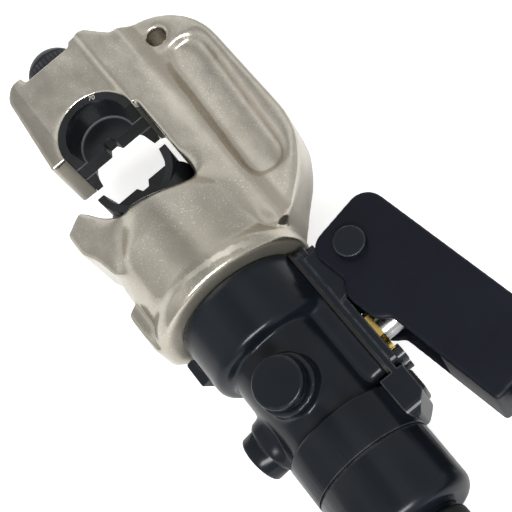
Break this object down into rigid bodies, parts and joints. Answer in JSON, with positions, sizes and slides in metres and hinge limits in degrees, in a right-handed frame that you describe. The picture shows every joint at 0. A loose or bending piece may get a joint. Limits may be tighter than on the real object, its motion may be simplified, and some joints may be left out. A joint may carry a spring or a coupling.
{
  "type": "hydraulic crimping tool",
  "caption": "Hand pumped hydraulic crimping tool with an open forged head, half round dies, a black pump body, a fixed handle and a pump lever.",
  "frame": {"origin": "crimp centre, on the closing plane of the dies at mid thickness", "axes": "+X along the tool to the handle end, +Y to the pump lever side, +Z out of the front face"},
  "size_m": [0.5069, 0.1704, 0.085],
  "materials": {
    "nickel": "satin nickel plate on a forging",
    "black_oxide": "satin black oxide on steel",
    "black_paint": "satin black coating",
    "black_plastic": "moulded, fine grain",
    "rubber": "matte",
    "steel": "ground",
    "brass": "turned"
  },
  "bodies": {
    "base": {"cylinder_body": "black_paint", "front_plug": "black_paint", "side_plug": "black_paint", "flange_gasket": "rubber", "flange_plate": "black_paint", "pivot_bracket": "black_paint", "bracket_screws": "black_oxide", "pivot_pin": "black_oxide", "pivot_circlip": "steel", "plunger_gland": "brass", "plunger_seal": "rubber", "check_ball": "steel", "relief_valve": "brass", "release_pin": "steel", "release_valve": "brass", "reservoir_collar": "black_plastic", "reservoir_sleeve": "black_plastic", "handle_tube": "black_paint", "oil_bladder": "rubber", "fixed_grip": "rubber", "end_cap": "black_plastic", "filler_screw": "steel", "swivel_seal": "rubber", "ram_return_spring": "steel"},
    "head": {"head_frame": "nickel", "upper_die": "black_oxide", "button_spring": "steel", "head_retaining_ring": "steel"},
    "ram_group": {"ram": "steel", "lower_die": "black_oxide", "ram_seal": "rubber", "ram_die_pin": "steel"},
    "die_button": {"die_release_button": "black_plastic"},
    "pump_lever": {"lever_channel": "black_paint", "push_roller": "steel", "roller_pin": "steel", "lever_tube": "black_paint", "lever_grip": "rubber", "lever_end_cap": "black_plastic"},
    "plunger_group": {"pump_plunger": "steel"},
    "release_group": {"release_lever": "black_paint"}
  },
  "joints": [
    {"name": "head_swivel", "type": "hinge", "parent": "base", "child": "head", "pos_m": [0.09, 0, 0], "axis": [1, 0, 0], "range_deg": [-90, 90]},
    {"name": "ram_slide", "type": "slide", "parent": "head", "child": "ram_group", "axis": [-1, 0, 0], "range_m": [0, 0.0297]},
    {"name": "die_button_press", "type": "slide", "parent": "head", "child": "die_button", "axis": [1, 0, 0], "range_m": [0, 0.003], "stiffness_N_per_m": 600, "springref_m": -0.002},
    {"name": "lever_swing", "type": "hinge", "parent": "base", "child": "pump_lever", "pos_m": [0.1318, 0.056, 0], "axis": [0, 0, 1], "range_deg": [-9, 30]},
    {"name": "plunger_slide", "type": "slide", "parent": "base", "child": "plunger_group", "axis": [0, 1, 0], "range_m": [-0.005, 0.0165]},
    {"name": "release_press", "type": "hinge", "parent": "base", "child": "release_group", "pos_m": [0.124, -0.02782, -0.01124], "axis": [0, -0.3746, 0.9272], "range_deg": [-6, 0], "stiffness_Nm_per_rad": 0.6, "springref_deg": 8.59}
  ],
  "couplings": [
    {"joint": "plunger_slide", "follows": "lever_swing", "m_per_rad": 0.0312}
  ]
}
